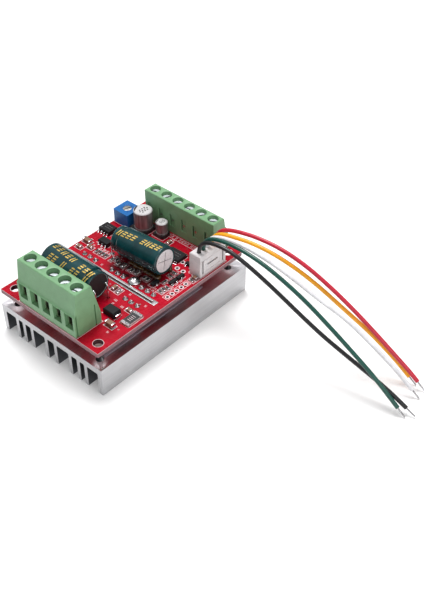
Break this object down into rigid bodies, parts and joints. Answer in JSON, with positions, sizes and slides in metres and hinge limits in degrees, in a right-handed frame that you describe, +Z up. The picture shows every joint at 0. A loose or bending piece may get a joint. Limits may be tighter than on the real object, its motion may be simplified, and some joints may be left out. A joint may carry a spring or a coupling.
{
  "type": "motor driver module",
  "caption": "Three-phase brushless motor driver board on a finned heatsink, with screw terminals for power, phases and signals and a plug with flying sensor wires.",
  "frame": {"origin": "middle of the heatsink's underside, on the plane of the fin ends, which the module stands on", "axes": "+Z up through the board; +X across the short side, towards the plug; +Y along the long side, from the power terminals to the signal terminals"},
  "size_m": [0.1174, 0.0646, 0.0323],
  "materials": {
    "aluminium": "extruded, satin sides and a polished top",
    "thermal_pad": "matt silicone",
    "board": "glossy red solder resist over glass fibre",
    "solder": "bright solder",
    "tinned_bar": "tinned copper",
    "black_epoxy": "moulded epoxy",
    "tinned_lead": "tinned leads",
    "zinc_steel": "zinc plated",
    "nylon_bushing": "moulded nylon",
    "terminal_green": "moulded pale green polyamide",
    "nickel_brass": "nickel plated brass",
    "can_aluminium": "drawn can",
    "sleeve": "shrunk dark teal sleeve with gold marks",
    "seal_rubber": "black rubber",
    "black_plastic": "moulded black",
    "trimmer_blue": "moulded blue",
    "rotor_metal": "plated, slotted",
    "connector_white": "moulded natural nylon",
    "wire_black": "extruded insulation",
    "wire_green": "extruded insulation",
    "wire_white": "extruded insulation",
    "wire_yellow": "extruded insulation",
    "wire_red": "extruded insulation",
    "resistor_black": "coated alumina",
    "ceramic_brown": "sintered ceramic"
  },
  "bodies": {
    "base": {"heatsink": "aluminium", "insulating_pad": "thermal_pad", "circuit_board": "board", "solder_joints": "solder", "bus_strip": "tinned_bar", "transistor_bodies": "black_epoxy", "transistor_tabs": "tinned_lead", "transistor_leads": "tinned_lead", "transistor_screws": "zinc_steel", "transistor_bushings": "nylon_bushing", "front_terminal_housing": "terminal_green", "rear_terminal_housing": "terminal_green", "front_terminal_contacts": "nickel_brass", "rear_terminal_contacts": "nickel_brass", "power_capacitor_cans": "can_aluminium", "power_capacitor_sleeves": "sleeve", "power_capacitor_seals": "seal_rubber", "power_capacitor_leads": "tinned_lead", "smd_capacitor_cans": "can_aluminium", "smd_capacitor_bases": "black_plastic", "trimmer_body": "trimmer_blue", "trimmer_pins": "tinned_lead", "connector_header": "connector_white", "header_pins": "tinned_lead", "ic_packages": "black_epoxy", "package_leads": "tinned_lead", "chip_resistors": "resistor_black", "chip_capacitors": "ceramic_brown", "chip_end_caps": "solder"},
    "front_screw_1": {"front_screw_1": "zinc_steel"},
    "front_clamp_1": {"front_clamp_1": "nickel_brass"},
    "front_screw_2": {"front_screw_2": "zinc_steel"},
    "front_clamp_2": {"front_clamp_2": "nickel_brass"},
    "front_screw_3": {"front_screw_3": "zinc_steel"},
    "front_clamp_3": {"front_clamp_3": "nickel_brass"},
    "front_screw_4": {"front_screw_4": "zinc_steel"},
    "front_clamp_4": {"front_clamp_4": "nickel_brass"},
    "front_screw_5": {"front_screw_5": "zinc_steel"},
    "front_clamp_5": {"front_clamp_5": "nickel_brass"},
    "rear_screw_1": {"rear_screw_1": "zinc_steel"},
    "rear_clamp_1": {"rear_clamp_1": "nickel_brass"},
    "rear_screw_2": {"rear_screw_2": "zinc_steel"},
    "rear_clamp_2": {"rear_clamp_2": "nickel_brass"},
    "rear_screw_3": {"rear_screw_3": "zinc_steel"},
    "rear_clamp_3": {"rear_clamp_3": "nickel_brass"},
    "rear_screw_4": {"rear_screw_4": "zinc_steel"},
    "rear_clamp_4": {"rear_clamp_4": "nickel_brass"},
    "rear_screw_5": {"rear_screw_5": "zinc_steel"},
    "rear_clamp_5": {"rear_clamp_5": "nickel_brass"},
    "rear_screw_6": {"rear_screw_6": "zinc_steel"},
    "rear_clamp_6": {"rear_clamp_6": "nickel_brass"},
    "rotor": {"trimmer_rotor": "rotor_metal"},
    "plug": {"plug_housing": "connector_white", "plug_contacts": "tinned_lead", "black_wire": "wire_black", "green_wire": "wire_green", "white_wire": "wire_white", "yellow_wire": "wire_yellow", "red_wire": "wire_red", "wire_tips": "solder"}
  },
  "joints": [
    {"name": "front_screw_1_turn", "type": "hinge", "parent": "base", "child": "front_screw_1", "pos_m": [-0.01024, -0.02758, 0.0284], "axis": [0, 0, -1], "range_deg": [0, 2000.01]},
    {"name": "front_clamp_1_lift", "type": "slide", "parent": "base", "child": "front_clamp_1", "axis": [0, 0, 1], "range_m": [0, 0.0025]},
    {"name": "front_screw_2_turn", "type": "hinge", "parent": "base", "child": "front_screw_2", "pos_m": [-0.00524, -0.02758, 0.0284], "axis": [0, 0, -1], "range_deg": [0, 2000.01]},
    {"name": "front_clamp_2_lift", "type": "slide", "parent": "base", "child": "front_clamp_2", "axis": [0, 0, 1], "range_m": [0, 0.0025]},
    {"name": "front_screw_3_turn", "type": "hinge", "parent": "base", "child": "front_screw_3", "pos_m": [-0.00024, -0.02758, 0.0284], "axis": [0, 0, -1], "range_deg": [0, 2000.01]},
    {"name": "front_clamp_3_lift", "type": "slide", "parent": "base", "child": "front_clamp_3", "axis": [0, 0, 1], "range_m": [0, 0.0025]},
    {"name": "front_screw_4_turn", "type": "hinge", "parent": "base", "child": "front_screw_4", "pos_m": [0.00476, -0.02758, 0.0284], "axis": [0, 0, -1], "range_deg": [0, 2000.01]},
    {"name": "front_clamp_4_lift", "type": "slide", "parent": "base", "child": "front_clamp_4", "axis": [0, 0, 1], "range_m": [0, 0.0025]},
    {"name": "front_screw_5_turn", "type": "hinge", "parent": "base", "child": "front_screw_5", "pos_m": [0.00976, -0.02758, 0.0284], "axis": [0, 0, -1], "range_deg": [0, 2000.01]},
    {"name": "front_clamp_5_lift", "type": "slide", "parent": "base", "child": "front_clamp_5", "axis": [0, 0, 1], "range_m": [0, 0.0025]},
    {"name": "rear_screw_1_turn", "type": "hinge", "parent": "base", "child": "rear_screw_1", "pos_m": [-0.01134, 0.02568, 0.0259], "axis": [0, 0, -1], "range_deg": [0, 1440.01]},
    {"name": "rear_clamp_1_lift", "type": "slide", "parent": "base", "child": "rear_clamp_1", "axis": [0, 0, 1], "range_m": [0, 0.0018]},
    {"name": "rear_screw_2_turn", "type": "hinge", "parent": "base", "child": "rear_screw_2", "pos_m": [-0.00634, 0.02568, 0.0259], "axis": [0, 0, -1], "range_deg": [0, 1440.01]},
    {"name": "rear_clamp_2_lift", "type": "slide", "parent": "base", "child": "rear_clamp_2", "axis": [0, 0, 1], "range_m": [0, 0.0018]},
    {"name": "rear_screw_3_turn", "type": "hinge", "parent": "base", "child": "rear_screw_3", "pos_m": [-0.00134, 0.02568, 0.0259], "axis": [0, 0, -1], "range_deg": [0, 1440.01]},
    {"name": "rear_clamp_3_lift", "type": "slide", "parent": "base", "child": "rear_clamp_3", "axis": [0, 0, 1], "range_m": [0, 0.0018]},
    {"name": "rear_screw_4_turn", "type": "hinge", "parent": "base", "child": "rear_screw_4", "pos_m": [0.00366, 0.02568, 0.0259], "axis": [0, 0, -1], "range_deg": [0, 1440.01]},
    {"name": "rear_clamp_4_lift", "type": "slide", "parent": "base", "child": "rear_clamp_4", "axis": [0, 0, 1], "range_m": [0, 0.0018]},
    {"name": "rear_screw_5_turn", "type": "hinge", "parent": "base", "child": "rear_screw_5", "pos_m": [0.00866, 0.02568, 0.0259], "axis": [0, 0, -1], "range_deg": [0, 1440.01]},
    {"name": "rear_clamp_5_lift", "type": "slide", "parent": "base", "child": "rear_clamp_5", "axis": [0, 0, 1], "range_m": [0, 0.0018]},
    {"name": "rear_screw_6_turn", "type": "hinge", "parent": "base", "child": "rear_screw_6", "pos_m": [0.01366, 0.02568, 0.0259], "axis": [0, 0, -1], "range_deg": [0, 1440.01]},
    {"name": "rear_clamp_6_lift", "type": "slide", "parent": "base", "child": "rear_clamp_6", "axis": [0, 0, 1], "range_m": [0, 0.0018]},
    {"name": "trimmer_turn", "type": "hinge", "parent": "base", "child": "rotor", "pos_m": [-0.018, 0.0187, 0.0204], "axis": [0, 0, 1], "range_deg": [-130, 130]},
    {"name": "plug_pull", "type": "slide", "parent": "base", "child": "plug", "axis": [0, 0, 1], "range_m": [0, 0.006]}
  ],
  "couplings": [
    {"joint": "front_screw_1_turn", "follows": "front_clamp_1_lift", "rad_per_m": 13963},
    {"joint": "front_screw_2_turn", "follows": "front_clamp_2_lift", "rad_per_m": 13963},
    {"joint": "front_screw_3_turn", "follows": "front_clamp_3_lift", "rad_per_m": 13963},
    {"joint": "front_screw_4_turn", "follows": "front_clamp_4_lift", "rad_per_m": 13963},
    {"joint": "front_screw_5_turn", "follows": "front_clamp_5_lift", "rad_per_m": 13963},
    {"joint": "rear_screw_1_turn", "follows": "rear_clamp_1_lift", "rad_per_m": 13963},
    {"joint": "rear_screw_2_turn", "follows": "rear_clamp_2_lift", "rad_per_m": 13963},
    {"joint": "rear_screw_3_turn", "follows": "rear_clamp_3_lift", "rad_per_m": 13963},
    {"joint": "rear_screw_4_turn", "follows": "rear_clamp_4_lift", "rad_per_m": 13963},
    {"joint": "rear_screw_5_turn", "follows": "rear_clamp_5_lift", "rad_per_m": 13963},
    {"joint": "rear_screw_6_turn", "follows": "rear_clamp_6_lift", "rad_per_m": 13963}
  ]
}
